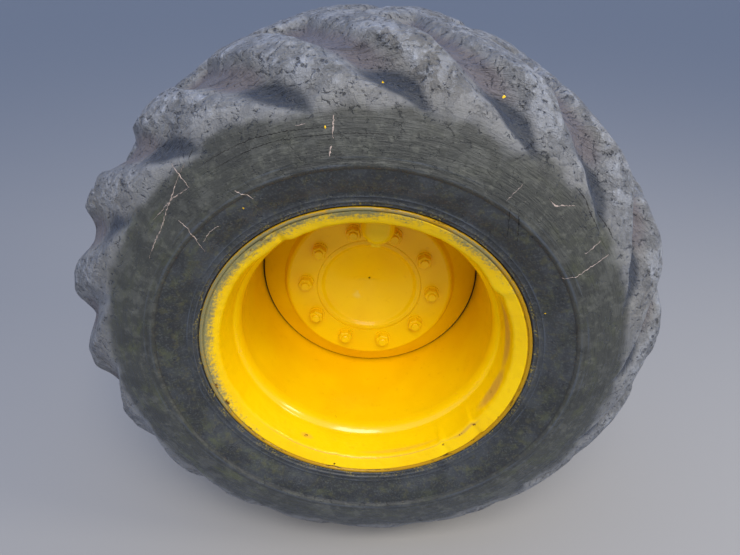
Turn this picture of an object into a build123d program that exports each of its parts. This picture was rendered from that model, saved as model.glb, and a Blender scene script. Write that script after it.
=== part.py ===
from build123d import *
from math import atan2, cos, radians, sin
import os

# Wheel of a forestry forwarder's bogie, with the hub and the spindle that carry it.
# Millimetres. The axle runs along Y and the wheel's outer face looks to -Y, with +Z up.
# The origin is the centre of the spindle's mounting face, which meets the bogie case.
# Profiles are drawn in the XY plane as (radius, y) and turned about the Y axis.

# Tyre
TYRE_RADIUS = 677.0         # out to the worn tips of the lugs at the crown
TYRE_WIDTH = 706.0
RIDGE_DROP = 211.0          # the widest ring of the sidewall, in from the tips
LUG_DEPTH = 37.0
TREAD_WALL = 36.0           # rubber and plies under the grooves
SIDE_WALL = 22.0
BEAD_WIDTH = 44.0
BEAD_BACK = 16.0            # height of the bead's back over the seat
HEEL_ROUND = 8.0            # of the bead in the corner of seat and flange
HEEL_RISE = 14.0            # straight wall of the bead behind the flange
BEAD_BULGE = 4.0            # where the sidewall leaves the flange's edge
FRAME_GAP = 45.0            # from the mounting face to the tyre's inner side

# Lugs: bars that start at the shoulder, lead towards the crown and interlock there
LUG_COUNT = 18              # on each side
LUG_PHASE = 26.4            # degrees from +X towards +Z, to the shoulder of the first outboard lug
CROWN_LEAD = 9.8            # how far a lug leads at the crown, in degrees
SHOULDER_LEAD = 2.3
FLANK_LAG = 18.4            # how far its foot lags on the flank
CROWN_GAP = 14.0            # between the ends of interlocking lugs, round the tyre
SHOULDER_GROOVE = 90.0      # width of a groove, round the tyre
FLANK_GROOVE = 16.0
SHOULDER_SET = 178.0        # where a lug bends, in from the widest ring
LUG_REACH = 42.0            # past the middle of the tread
FACET_DROP = 2.6            # the flat top of a lug lies this far inside its tips

# Rim
RIM_WIDTH = 610.0           # between the flanges
SEAT_RADIUS = 336.5         # bead seat
FLANGE_HEIGHT = 26.5        # over the seat
RIM_WALL = 12.0
RIM_LIP = 15.0              # how far the flange's edge is rolled outward
LIP_WALL = 8.0
LIP_ROUND = 9.0
MOUTH_ROUND = 19.0          # of the flange on the axle's side
SEAT_WIDTH = 48.0
WELL_DEPTH = 30.0
WELL_RUN = 25.0             # width of the slope from the seat to the well
WELL_ROUND = 12.0

# Pressed disc
DISC_OFFSET = 14.0          # nut face outboard of the rim's centre plane
DISC_WALL = 14.0
PLATE_BORDER = 50.5         # flat part outside the stud circle
DISC_STEP = 20.0            # depth of the pressed shoulder
STEP_RUN = 10.0             # its width
STEP_ROUND = 12.0
RING_FALL = 41.0            # fall of the outer ring
SKIRT_LENGTH = 36.0
SKIRT_ROUND = 9.0
SKIRT_GAP = 4.0             # dark crevice between the disc and the barrel
WELD_LEG = 10.0

# Studs and nuts
STUD_COUNT = 10
STUD_SET = 27.0             # from the pilot's edge to the stud circle
STUD_PHASE = -4.9           # degrees from +X towards +Z
STUD_RADIUS = 11.0
STUD_PROUD = 7.0            # past the nut's end
STUD_CHAMFER = 1.5
STUD_HEAD_RADIUS = 16.0
STUD_HEAD = 9.0
STUD_PLAY = 1.75            # round the stud in the disc
NUT_FLATS = 33.0
NUT_HEIGHT = 18.0
NUT_CHAMFER = 2.0
WASHER_RADIUS = 21.0
WASHER_HEIGHT = 4.0
WASHER_PLAY = 0.5

# Hub
PILOT_RADIUS = 140.5        # bore of the disc
PILOT_SET = 5.0             # its end lies this far inside the nut face
PILOT_WALL = 12.5
HUB_FLANGE_BORDER = 24.5    # outside the stud circle
HUB_FLANGE = 26.0
BARREL_WALL = 53.0          # round the journal, at the flange
BARREL_END_WALL = 40.0
BARREL_ROUND = 5.0
BARREL_LENGTH = 244.0
WEB_DEPTH = 65.0            # from the pilot's end to the web
WEB_WALL = 20.0

# Cover in the hub
COVER_WALL = 4.0
COVER_GAP = 2.0             # dark line between the cover and the disc's bore
COVER_BAND = 12.0           # width of its flat rim
COVER_STEP = 8.0            # drop from the rim to the dish
COVER_STEP_RUN = 8.0
COVER_ROUND = 10.0
COVER_DISH = 41.0           # more at the middle
COVER_HOLE_RADIUS = 3.0
COVER_PLAY = 0.5            # inside the hub's recess

# Spindle and shaft
JOURNAL_RADIUS = 92.0
END_GAP = 6.0               # between turning and standing faces
NECK_WALL = 38.0            # over the journal
NECK_LENGTH = 28.0
ROOT_WALL = 18.0            # over the neck where it meets the flange
ROOT_ROUND = 14.0
FLANGE_BORDER = 28.0        # outside the bolt circle
SPINDLE_FLANGE = 32.0
BOLT_CIRCLE = 360.0         # diameter
BOLT_COUNT = 16
BOLT_HOLE_RADIUS = 11.0
SHAFT_RADIUS = 38.0
SHAFT_PLAY = 7.0            # round the shaft in the spindle
SHAFT_RECESS = 6.0          # its end lies inside the mounting face
SPLINE_COUNT = 20
SPLINE_DEPTH = 3.5
SPLINE_WIDTH = 5.0
SPLINE_LENGTH = 60.0

# Ring over the gap between hub and spindle
RING_WALL = 7.0
RING_PLAY = 6.0
RING_LAP = 14.0             # over the end of the hub
RING_FIT = 2.0              # from the neck's first face
RING_SHORT = 4.0            # of the neck's end

# Valve and its guard
VALVE_ANGLE = 84.2          # degrees from +X towards +Z
VALVE_SET = 135.0           # outboard of the rim's centre plane
VALVE_RADIUS = 6.0
VALVE_LENGTH = 52.0         # inside the barrel
VALVE_TAIL = 2.0            # outside the barrel
VALVE_BASE_RADIUS = 12.0
VALVE_BASE = 8.0
VALVE_CAP_RADIUS = 8.0
VALVE_CAP = 16.0
VALVE_CHAMFER = 1.5
GUARD_WIDTH = 76.0
GUARD_DEPTH = 88.0          # from the barrel towards the axle
GUARD_LENGTH = 95.0
GUARD_WALL = 5.0
GUARD_NOSE = 26.0           # rounding of its front
GUARD_TAB_WIDTH = 20.0      # tab under its nose
GUARD_TAB = 11.0

# Clearances
BEAD_FIT = 0.3
PILOT_FIT = 0.1
JOURNAL_FIT = 0.05
THREAD_FIT = 0.05
VALVE_FIT = 0.2
BASE_FIT = 0.4

# Places along the axle
TYRE_Y = -FRAME_GAP - TYRE_WIDTH / 2
PLATE_Y = TYRE_Y - DISC_OFFSET
DISC_BACK_Y = PLATE_Y + DISC_WALL
HUB_BACK_Y = DISC_BACK_Y + HUB_FLANGE
PILOT_Y = PLATE_Y + PILOT_SET
WEB_Y = PILOT_Y + WEB_DEPTH
WEB_BACK_Y = WEB_Y + WEB_WALL
BARREL_END_Y = HUB_BACK_Y + BARREL_LENGTH
NECK_Y = BARREL_END_Y + END_GAP
SPINDLE_FLANGE_Y = -SPINDLE_FLANGE
NUT_Y = PLATE_Y - WASHER_HEIGHT
NUT_END_Y = NUT_Y - NUT_HEIGHT
VALVE_Y = TYRE_Y - VALVE_SET

# Radii that follow from others
RIDGE_RADIUS = TYRE_RADIUS - RIDGE_DROP
FLANGE_RADIUS = SEAT_RADIUS + FLANGE_HEIGHT
WELL_RADIUS = SEAT_RADIUS - WELL_DEPTH
BARREL_INNER = WELL_RADIUS - RIM_WALL
SKIRT_RADIUS = BARREL_INNER - SKIRT_GAP
STUD_CIRCLE_RADIUS = PILOT_RADIUS + STUD_SET
PLATE_RADIUS = STUD_CIRCLE_RADIUS + PLATE_BORDER
RECESS_RADIUS = PILOT_RADIUS - PILOT_WALL
NECK_RADIUS = JOURNAL_RADIUS + NECK_WALL
BARREL_END_RADIUS = JOURNAL_RADIUS + BARREL_END_WALL


def turned(rows):
    """A solid of revolution about the Y axis from rows of (radius, y, corner radius)."""
    with BuildPart() as body:
        with BuildSketch(Plane.XY):
            with BuildLine():
                FilletPolyline(
                    [(radius, y) for radius, y, corner in rows],
                    radius=[corner for radius, y, corner in rows],
                    close=True,
                )
            make_face()
        revolve(axis=Axis.Y)
    return body


def both_sides(half):
    """A half outline of (radius, distance from the tyre's middle) and its mirror image, as one loop."""
    outboard_half = [(radius, TYRE_Y - away) for radius, away in reversed(half)]
    return outboard_half + [(radius, TYRE_Y + away) for radius, away in half]


# Tyre: a carcass in flat bands, with the lugs on it and the cavity cut out last.
half_width = TYRE_WIDTH / 2
half_rim = RIM_WIDTH / 2 - BEAD_FIT
bead_radius = SEAT_RADIUS + BEAD_FIT
ridge_rise = RIDGE_RADIUS - FLANGE_RADIUS
carcass_half = [
    # radius, distance from the middle
    (TYRE_RADIUS - LUG_DEPTH, half_width - 183),
    (TYRE_RADIUS - LUG_DEPTH - 44, half_width - 83),
    (TYRE_RADIUS - 136, half_width - 15),
    (RIDGE_RADIUS, half_width),
    (FLANGE_RADIUS + 0.42 * ridge_rise, half_width - 15),
    (FLANGE_RADIUS + BEAD_BULGE, half_rim + 1),
    (SEAT_RADIUS + HEEL_RISE, half_rim),
    (bead_radius + HEEL_ROUND, half_rim),
    (bead_radius, half_rim - HEEL_ROUND),
    (bead_radius, half_rim - BEAD_WIDTH),
]
cavity_half = [
    (TYRE_RADIUS - LUG_DEPTH - TREAD_WALL, half_width - 165),
    (RIDGE_RADIUS, half_width - SIDE_WALL),
    (SEAT_RADIUS + BEAD_BACK, half_rim - BEAD_WIDTH),
    (SEAT_RADIUS - BEAD_BACK, half_rim - BEAD_WIDTH),
]

# A lug's plan: its turn from the shoulder, the radius there, the distance from the middle and its width
pitch_turn = radians(360 / LUG_COUNT)
flank_radius = TYRE_RADIUS - 132
lug_rows = [
    (CROWN_LEAD, TYRE_RADIUS, 0, pitch_turn / 2 * TYRE_RADIUS - CROWN_GAP),
    (SHOULDER_LEAD, TYRE_RADIUS - 5, half_width - SHOULDER_SET, pitch_turn * TYRE_RADIUS - SHOULDER_GROOVE),
    (-FLANK_LAG, flank_radius, half_width, pitch_turn * flank_radius - FLANK_GROOVE),
]
# The flats of its top: their turn, and the drop and distance from the middle where each begins and ends
lug_flats = [
    (CROWN_LEAD - 1.5, 0, 0, 0, half_width - 300),
    (SHOULDER_LEAD + 1.2, 0, half_width - 300, 1, half_width - 190),
    (SHOULDER_LEAD - 2.3, 1, half_width - 190, 10, half_width - 108),
    (-0.35 * FLANK_LAG, 10, half_width - 108, 47, half_width - 68),
    (-0.7 * FLANK_LAG, 47, half_width - 68, 135, half_width - 18),
]


def make_lug(side):
    """A lug on the +X side of the wheel, with its outer end towards side * Y."""
    leading = []
    trailing = []
    for turn, radius, away, width in lug_rows:
        middle = radius * sin(radians(turn))
        leading.append((middle - width / 2, side * away))
        trailing.append((middle + width / 2, side * away))
    nose = ((leading[0][0] + trailing[0][0]) / 2, -side * LUG_REACH)
    with BuildPart() as lug:
        with BuildSketch(Plane(origin=(RIDGE_RADIUS, TYRE_Y, 0), x_dir=(0, 0, 1), z_dir=(1, 0, 0))):
            with BuildLine():
                Polyline([(x, -y) for x, y in [nose] + leading + trailing[::-1]], close=True)
            make_face()
        extrude(amount=TYRE_RADIUS - RIDGE_RADIUS + 20)
        for turn, drop_in, away_in, drop_out, away_out in lug_flats:
            tilt = atan2(drop_out - drop_in, away_out - away_in)
            radius = TYRE_RADIUS - FACET_DROP - drop_in
            out = Vector(cos(radians(turn)), 0, sin(radians(turn)))
            flat = Plane(
                origin=out * radius + Vector(0, TYRE_Y + side * away_in, 0),
                z_dir=out * cos(tilt) + Vector(0, side * sin(tilt), 0),
            )
            split(bisect_by=flat, keep=Keep.BOTTOM)
    return lug


with BuildPart() as tyre:
    with BuildSketch(Plane.XY):
        with BuildLine():
            Polyline(both_sides(carcass_half), close=True)
        make_face()
    revolve(axis=Axis.Y)
    for side, stagger in ((-1, 0), (1, 180 / LUG_COUNT)):
        lug = make_lug(side)
        for place in range(LUG_COUNT):
            turn = LUG_PHASE + stagger + 360 / LUG_COUNT * place
            add(lug.part.rotate(Axis.Y, -turn))
    with BuildSketch(Plane.XY):
        with BuildLine():
            Polyline(both_sides(cavity_half), close=True)
        make_face()
    revolve(axis=Axis.Y, mode=Mode.SUBTRACT)

# Rim: one drop-centre barrel with both flanges, rolled outward at their edges.
flange_in = RIM_WIDTH / 2
lip = flange_in + RIM_LIP
well_half = flange_in - SEAT_WIDTH - WELL_RUN
tyre_side = [
    # radius, distance from the middle, corner radius
    (FLANGE_RADIUS, lip, 0),
    (FLANGE_RADIUS, flange_in, LIP_ROUND),
    (SEAT_RADIUS, flange_in, HEEL_ROUND - 2),
    (SEAT_RADIUS, flange_in - SEAT_WIDTH, 0),
    (WELL_RADIUS, well_half, WELL_ROUND),
]
axle_side = [
    (BARREL_INNER, well_half, WELL_ROUND + 8),
    (SEAT_RADIUS - RIM_WALL, flange_in - SEAT_WIDTH + 3, WELL_ROUND),
    (SEAT_RADIUS - RIM_WALL, flange_in + RIM_WALL, MOUTH_ROUND),
    (FLANGE_RADIUS - LIP_WALL - 2, flange_in + RIM_WALL, 0),
    (FLANGE_RADIUS - LIP_WALL, lip, 0),
]
outboard = [(radius, TYRE_Y - away, corner) for radius, away, corner in tyre_side]
inboard = [(radius, TYRE_Y + away, corner) for radius, away, corner in reversed(tyre_side)]
inboard_face = [(radius, TYRE_Y + away, corner) for radius, away, corner in reversed(axle_side)]
outboard_face = [(radius, TYRE_Y - away, corner) for radius, away, corner in axle_side]
rim = turned(outboard + inboard + inboard_face + outboard_face)

# Disc: a flat plate for the nuts, a pressed shoulder, a sloping ring and a skirt in the barrel.
ring_y = PLATE_Y + DISC_STEP
skirt_y = ring_y + RING_FALL
skirt_end_y = skirt_y + SKIRT_LENGTH
step_radius = PLATE_RADIUS + STEP_RUN
half_wall = DISC_WALL / 2
disc_body = turned([
    (PILOT_RADIUS, PLATE_Y, 0),
    (PLATE_RADIUS, PLATE_Y, STEP_ROUND),
    (step_radius, ring_y, 6),
    (SKIRT_RADIUS, skirt_y, SKIRT_ROUND),
    (SKIRT_RADIUS, skirt_end_y, 0),
    (SKIRT_RADIUS - DISC_WALL, skirt_end_y, 0),
    (SKIRT_RADIUS - DISC_WALL, skirt_y + half_wall, 0),
    (step_radius - half_wall, ring_y + DISC_WALL, STEP_ROUND),
    (PLATE_RADIUS - half_wall, DISC_BACK_Y, 0),
    (PILOT_RADIUS, DISC_BACK_Y, 0),
])

# Weld that closes the crevice between the disc's skirt and the barrel.
disc_weld = turned([
    (SKIRT_RADIUS, skirt_end_y - WELD_LEG, 0),
    (BARREL_INNER, skirt_end_y - WELD_LEG, 0),
    (BARREL_INNER, skirt_end_y + WELD_LEG, 0),
    (SKIRT_RADIUS, skirt_end_y, 0),
])

# Hub: a pilot for the disc, a flange for the studs and a barrel that turns on the spindle.
hub_bore = JOURNAL_RADIUS + JOURNAL_FIT
pilot_fit_radius = PILOT_RADIUS - PILOT_FIT
hub_flange_radius = STUD_CIRCLE_RADIUS + HUB_FLANGE_BORDER
hub_body = turned([
    (RECESS_RADIUS, PILOT_Y, 0),
    (pilot_fit_radius, PILOT_Y, 0),
    (pilot_fit_radius, DISC_BACK_Y, 0),
    (hub_flange_radius, DISC_BACK_Y, 0),
    (hub_flange_radius, HUB_BACK_Y, BARREL_ROUND),
    (JOURNAL_RADIUS + BARREL_WALL, HUB_BACK_Y, BARREL_ROUND),
    (BARREL_END_RADIUS, BARREL_END_Y, 0),
    (hub_bore, BARREL_END_Y, 0),
    (hub_bore, WEB_BACK_Y, 0),
    (0, WEB_BACK_Y, 0),
    (0, WEB_Y, 0),
    (RECESS_RADIUS, WEB_Y, 0),
])
stud_plane = Plane(origin=(0, PLATE_Y, 0), x_dir=(1, 0, 0), z_dir=(0, -1, 0))
with BuildPart() as hub:
    add(hub_body.part)
    with BuildSketch(stud_plane.offset(PLATE_Y - DISC_BACK_Y)):
        with PolarLocations(STUD_CIRCLE_RADIUS, STUD_COUNT, start_angle=STUD_PHASE):
            Circle(STUD_RADIUS)
    extrude(amount=-HUB_FLANGE, mode=Mode.SUBTRACT)
with BuildPart() as wheel_disc:
    add(disc_body.part)
    with BuildSketch(stud_plane):
        with PolarLocations(STUD_CIRCLE_RADIUS, STUD_COUNT, start_angle=STUD_PHASE):
            Circle(STUD_RADIUS + STUD_PLAY)
    extrude(amount=-DISC_WALL, mode=Mode.SUBTRACT)

# Cover: a pressed cap on the pilot's end with a flat rim, a shallow step and a dished face.
cover_radius = PILOT_RADIUS - COVER_GAP
band_y = PILOT_Y - COVER_WALL
band_inner = cover_radius - COVER_BAND
step_inner = band_inner - COVER_STEP_RUN
dish_y = band_y + COVER_STEP
middle_y = dish_y + COVER_DISH
hub_cover = turned([
    (COVER_HOLE_RADIUS, middle_y, 0),
    (step_inner, dish_y, COVER_ROUND),
    (band_inner, band_y, 4),
    (cover_radius, band_y, 2),
    (cover_radius, PILOT_Y, 0),
    (RECESS_RADIUS - COVER_PLAY, PILOT_Y, 0),
    (step_inner, dish_y + COVER_WALL, 0),
    (COVER_HOLE_RADIUS, middle_y + COVER_WALL, 0),
])

# Spindle: a journal inside the hub, a neck, and the flange that bolts to the bogie case.
bore_radius = SHAFT_RADIUS + SHAFT_PLAY
journal_y = WEB_BACK_Y + END_GAP
neck_end_y = NECK_Y + NECK_LENGTH
spindle_flange_radius = BOLT_CIRCLE / 2 + FLANGE_BORDER
spindle_body = turned([
    (bore_radius, journal_y, 0),
    (JOURNAL_RADIUS, journal_y, 0),
    (JOURNAL_RADIUS, NECK_Y, 0),
    (NECK_RADIUS, NECK_Y, 0),
    (NECK_RADIUS, neck_end_y, 0),
    (NECK_RADIUS + ROOT_WALL, SPINDLE_FLANGE_Y, ROOT_ROUND),
    (spindle_flange_radius, SPINDLE_FLANGE_Y, 3),
    (spindle_flange_radius, 0, 0),
    (bore_radius, 0, 0),
])
with BuildPart() as spindle:
    add(spindle_body.part)
    with BuildSketch(Plane.XZ):
        with PolarLocations(BOLT_CIRCLE / 2, BOLT_COUNT):
            Circle(BOLT_HOLE_RADIUS)
    extrude(amount=SPINDLE_FLANGE, mode=Mode.SUBTRACT)

# Shaft: splined at the bogie's end and seated on the hub's web.
shaft_end_y = -SHAFT_RECESS
with BuildPart() as drive_shaft:
    with BuildSketch(Plane.XZ.offset(-WEB_BACK_Y)):
        Circle(SHAFT_RADIUS)
    extrude(amount=WEB_BACK_Y - shaft_end_y)
    with BuildSketch(Plane.XZ.offset(-shaft_end_y)):
        with PolarLocations(SHAFT_RADIUS, SPLINE_COUNT):
            Rectangle(2 * SPLINE_DEPTH, SPLINE_WIDTH)
    extrude(amount=SPLINE_LENGTH, mode=Mode.SUBTRACT)

# Ring on the spindle's neck that laps over the hub's end and keeps mud out of the gap.
ring_inner = BARREL_END_RADIUS + RING_PLAY
ring_back_y = neck_end_y - RING_SHORT
dust_ring = turned([
    (NECK_RADIUS, NECK_Y + RING_FIT, 0),
    (ring_inner, NECK_Y + RING_FIT, 0),
    (ring_inner, BARREL_END_Y - RING_LAP, 0),
    (ring_inner + RING_WALL, BARREL_END_Y - RING_LAP, 0),
    (ring_inner + RING_WALL, ring_back_y, 3),
    (NECK_RADIUS, ring_back_y, 0),
])

# Studs, nuts and washers, one set for each of the ten places.
wheel_studs = []
wheel_nuts = []
nut_washers = []
for place in range(STUD_COUNT):
    turn = radians(STUD_PHASE + 360 / STUD_COUNT * place)
    x = STUD_CIRCLE_RADIUS * cos(turn)
    z = STUD_CIRCLE_RADIUS * sin(turn)
    nut_plane = Plane(origin=(x, NUT_Y, z), x_dir=(cos(turn), 0, sin(turn)), z_dir=(0, -1, 0))
    with BuildPart() as wheel_stud:
        with BuildSketch(nut_plane.offset(NUT_HEIGHT + STUD_PROUD)):
            Circle(STUD_RADIUS)
        extrude(amount=NUT_END_Y - STUD_PROUD - HUB_BACK_Y)
        chamfer(wheel_stud.edges().sort_by(Axis.Y)[0], STUD_CHAMFER)
        with BuildSketch(nut_plane.offset(NUT_Y - HUB_BACK_Y)):
            Circle(STUD_HEAD_RADIUS)
        extrude(amount=-STUD_HEAD)
    with BuildPart() as wheel_nut:
        with BuildSketch(nut_plane):
            RegularPolygon(NUT_FLATS / 2, 6, major_radius=False)
        extrude(amount=NUT_HEIGHT)
        chamfer(wheel_nut.faces().sort_by(Axis.Y)[0].edges(), NUT_CHAMFER)
        with BuildSketch(nut_plane):
            Circle(STUD_RADIUS + THREAD_FIT)
        extrude(amount=NUT_HEIGHT, mode=Mode.SUBTRACT)
    with BuildPart() as nut_washer:
        with BuildSketch(nut_plane):
            Circle(WASHER_RADIUS)
            Circle(STUD_RADIUS + WASHER_PLAY, mode=Mode.SUBTRACT)
        extrude(amount=-WASHER_HEIGHT)
    wheel_studs.append(wheel_stud)
    wheel_nuts.append(wheel_nut)
    nut_washers.append(nut_washer)

# Valve: a stem through the barrel with its base nut and cap, under a hood against branches.
valve_turn = radians(VALVE_ANGLE)
valve_out = Vector(cos(valve_turn), 0, sin(valve_turn))
valve_across = Vector(sin(valve_turn), 0, -cos(valve_turn))
valve_plane = Plane(origin=(0, VALVE_Y, 0), x_dir=valve_across, z_dir=valve_out)
base_top = BARREL_INNER - BASE_FIT
stem_end = BARREL_INNER - VALVE_LENGTH
with BuildPart() as valve_stem:
    with BuildSketch(valve_plane.offset(stem_end)):
        Circle(VALVE_RADIUS)
    extrude(amount=WELL_RADIUS + VALVE_TAIL - stem_end)
    with BuildSketch(valve_plane.offset(base_top)):
        RegularPolygon(VALVE_BASE_RADIUS, 6)
    extrude(amount=-VALVE_BASE)
with BuildPart() as valve_cap:
    with BuildSketch(valve_plane.offset(stem_end)):
        Circle(VALVE_CAP_RADIUS)
    extrude(amount=-VALVE_CAP)
    chamfer(valve_cap.edges(), VALVE_CHAMFER)
with BuildPart() as rim_drilled:
    add(rim.part)
    with BuildSketch(valve_plane.offset(BARREL_INNER - 10)):
        Circle(VALVE_RADIUS + VALVE_FIT)
    extrude(amount=RIM_WALL + 20, mode=Mode.SUBTRACT)
rim = rim_drilled

# Guard: a rounded hood welded under the top of the barrel, open towards the disc.
guard_front_y = VALVE_Y - GUARD_LENGTH / 2
guard_plane = Plane(origin=(0, guard_front_y, 0), x_dir=valve_across, z_dir=(0, 1, 0))
guard_low = BARREL_INNER - GUARD_DEPTH
half_guard = GUARD_WIDTH / 2


def hood(half, low, front, nose):
    """A solid with a round bottom and a rounded front, from the barrel down to the radius low."""
    with BuildPart() as solid:
        with BuildSketch(guard_plane.offset(front)):
            with BuildLine():
                Line((-half, -BARREL_INNER - 10), (-half, -low - half))
                ThreePointArc((-half, -low - half), (0, -low), (half, -low - half))
                Line((half, -low - half), (half, -BARREL_INNER - 10))
                Line((half, -BARREL_INNER - 10), (-half, -BARREL_INNER - 10))
            make_face()
        extrude(amount=GUARD_LENGTH - front)
        front_face = solid.faces().sort_by(Axis.Y)[0]
        along = [edge for edge in front_face.edges() if abs((edge @ 0.5).dot(valve_out)) < BARREL_INNER + 5]
        fillet(along, nose)
    return solid


with BuildPart() as valve_guard:
    add(hood(half_guard, guard_low, 0, GUARD_NOSE).part)
    add(
        hood(half_guard - GUARD_WALL, guard_low + GUARD_WALL, GUARD_WALL, GUARD_NOSE - GUARD_WALL).part,
        mode=Mode.SUBTRACT,
    )
    with BuildSketch(Plane.XZ.offset(-guard_front_y + GUARD_WALL)):
        Circle(BARREL_INNER)
    extrude(amount=-GUARD_LENGTH - 2 * GUARD_WALL, mode=Mode.INTERSECT)
    with BuildSketch(guard_plane.offset(GUARD_NOSE)):
        with Locations((0, -guard_low + (GUARD_TAB - GUARD_WALL) / 2)):
            Rectangle(GUARD_TAB_WIDTH, GUARD_TAB + GUARD_WALL)
    extrude(amount=GUARD_WALL)

pieces = {
    "tyre": tyre,
    "rim": rim,
    "wheel_disc": wheel_disc,
    "disc_weld": disc_weld,
    "hub": hub,
    "hub_cover": hub_cover,
    "spindle": spindle,
    "drive_shaft": drive_shaft,
    "dust_ring": dust_ring,
    "valve_stem": valve_stem,
    "valve_cap": valve_cap,
    "valve_guard": valve_guard,
}
for place in range(STUD_COUNT):
    pieces[f"wheel_stud_{place + 1:02d}"] = wheel_studs[place]
    pieces[f"wheel_nut_{place + 1:02d}"] = wheel_nuts[place]
    pieces[f"nut_washer_{place + 1:02d}"] = nut_washers[place]

os.makedirs("parts", exist_ok=True)
for name, piece in pieces.items():
    piece.part.label = name
    export_step(piece.part, f"parts/{name}.step")
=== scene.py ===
"""A forwarder's bogie wheel: worn forestry tyre, dented yellow rim, hub and spindle."""

import math

import bpy
import numpy as np
from bpy.props import FloatProperty, FloatVectorProperty, IntProperty
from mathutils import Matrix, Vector


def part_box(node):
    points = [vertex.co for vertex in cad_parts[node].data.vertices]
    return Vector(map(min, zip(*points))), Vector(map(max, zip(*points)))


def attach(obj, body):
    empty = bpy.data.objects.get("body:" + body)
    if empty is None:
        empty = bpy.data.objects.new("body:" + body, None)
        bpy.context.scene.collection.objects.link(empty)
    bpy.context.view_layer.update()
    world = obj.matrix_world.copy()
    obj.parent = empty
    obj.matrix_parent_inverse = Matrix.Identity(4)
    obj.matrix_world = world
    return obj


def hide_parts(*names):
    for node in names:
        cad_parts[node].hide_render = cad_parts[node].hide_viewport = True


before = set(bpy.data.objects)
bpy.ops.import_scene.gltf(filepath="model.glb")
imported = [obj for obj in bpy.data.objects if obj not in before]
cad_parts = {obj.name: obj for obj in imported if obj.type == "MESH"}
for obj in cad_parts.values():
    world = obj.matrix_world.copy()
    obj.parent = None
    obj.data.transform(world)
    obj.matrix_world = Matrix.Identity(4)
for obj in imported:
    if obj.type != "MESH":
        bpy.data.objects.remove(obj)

bl_info = {
    "name": "Forestry bogie wheel",
    "version": (1, 0, 0),
    "blender": (4, 5, 0),
    "location": "View3D > Sidebar > Wheel",
    "description": "Dresses the wheel of a forestry machine with worn rubber and dented yellow steel",
    "category": "Object",
}

MM = 0.001
WHEEL = "wheel"
NUT_COUNT = 10
TYRE_LOW, TYRE_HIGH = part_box("tyre")
DISC_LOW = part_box("wheel_disc")[0]
COVER_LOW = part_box("hub_cover")[0]
TIP_RADIUS = TYRE_HIGH.z - 2 * MM      # the lugs' worn tops
HALF_WIDTH = (TYRE_HIGH.y - TYRE_LOW.y) / 2
CENTRE_Y = (TYRE_HIGH.y + TYRE_LOW.y) / 2


def linear(code):
    """An sRGB hex colour as linear RGBA."""
    channels = [int(code[place:place + 2], 16) / 255 for place in (1, 3, 5)]
    lit = [c / 12.92 if c <= 0.04045 else ((c + 0.055) / 1.055) ** 2.4 for c in channels]
    return (*lit, 1.0)


class TyreSettings(bpy.types.PropertyGroup):
    """Sizes and colours of the worn tyre."""

    lug_count: IntProperty(name="Lugs", description="Lugs on each side of the tread", default=18)
    lug_phase: FloatProperty(
        name="Lug phase", description="Where the first outboard lug ends on the flank, from +X towards +Z",
        default=math.radians(8), subtype="ANGLE")
    lug_lead: FloatProperty(
        name="Lug lead", description="How far a lug leads evenly from the flank to the crown",
        default=math.radians(16), subtype="ANGLE")
    lug_curve: FloatProperty(
        name="Lug curve", description="How much more it leads by curving near the flank",
        default=math.radians(12.5), subtype="ANGLE")
    lug_drift: FloatProperty(
        name="Lug drift", description="How far wear has pushed the lugs round on one side of the wheel",
        default=math.radians(6), subtype="ANGLE")
    lug_depth: FloatProperty(
        name="Lug depth", description="Worn height of the lugs at the crown", default=36 * MM, unit="LENGTH")
    lug_nose: FloatProperty(
        name="Lug nose", description="Half the width of a lug's round end at the crown",
        default=58 * MM, unit="LENGTH")
    rubber: FloatVectorProperty(
        name="Rubber", description="Weathered rubber", size=4, subtype="COLOR", default=linear("#3b3e3c"))
    dust: FloatVectorProperty(
        name="Dust", description="Dry dust on the tread", size=4, subtype="COLOR", default=linear("#727579"))
    moss: FloatVectorProperty(
        name="Moss", description="Green film low on the sidewall", size=4, subtype="COLOR",
        default=linear("#565c3c"))


class PaintSettings(bpy.types.PropertyGroup):
    """Colours of the sprayed steel."""

    yellow: FloatVectorProperty(
        name="Yellow", description="Sprayed enamel", size=4, subtype="COLOR", default=linear("#f8d000"))
    scuff: FloatVectorProperty(
        name="Scuff", description="Rubbed steel and rubber marks", size=4, subtype="COLOR",
        default=linear("#86845f"))
    dark: FloatVectorProperty(
        name="Dark", description="Axle paint", size=4, subtype="COLOR", default=linear("#35332f"))


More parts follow.
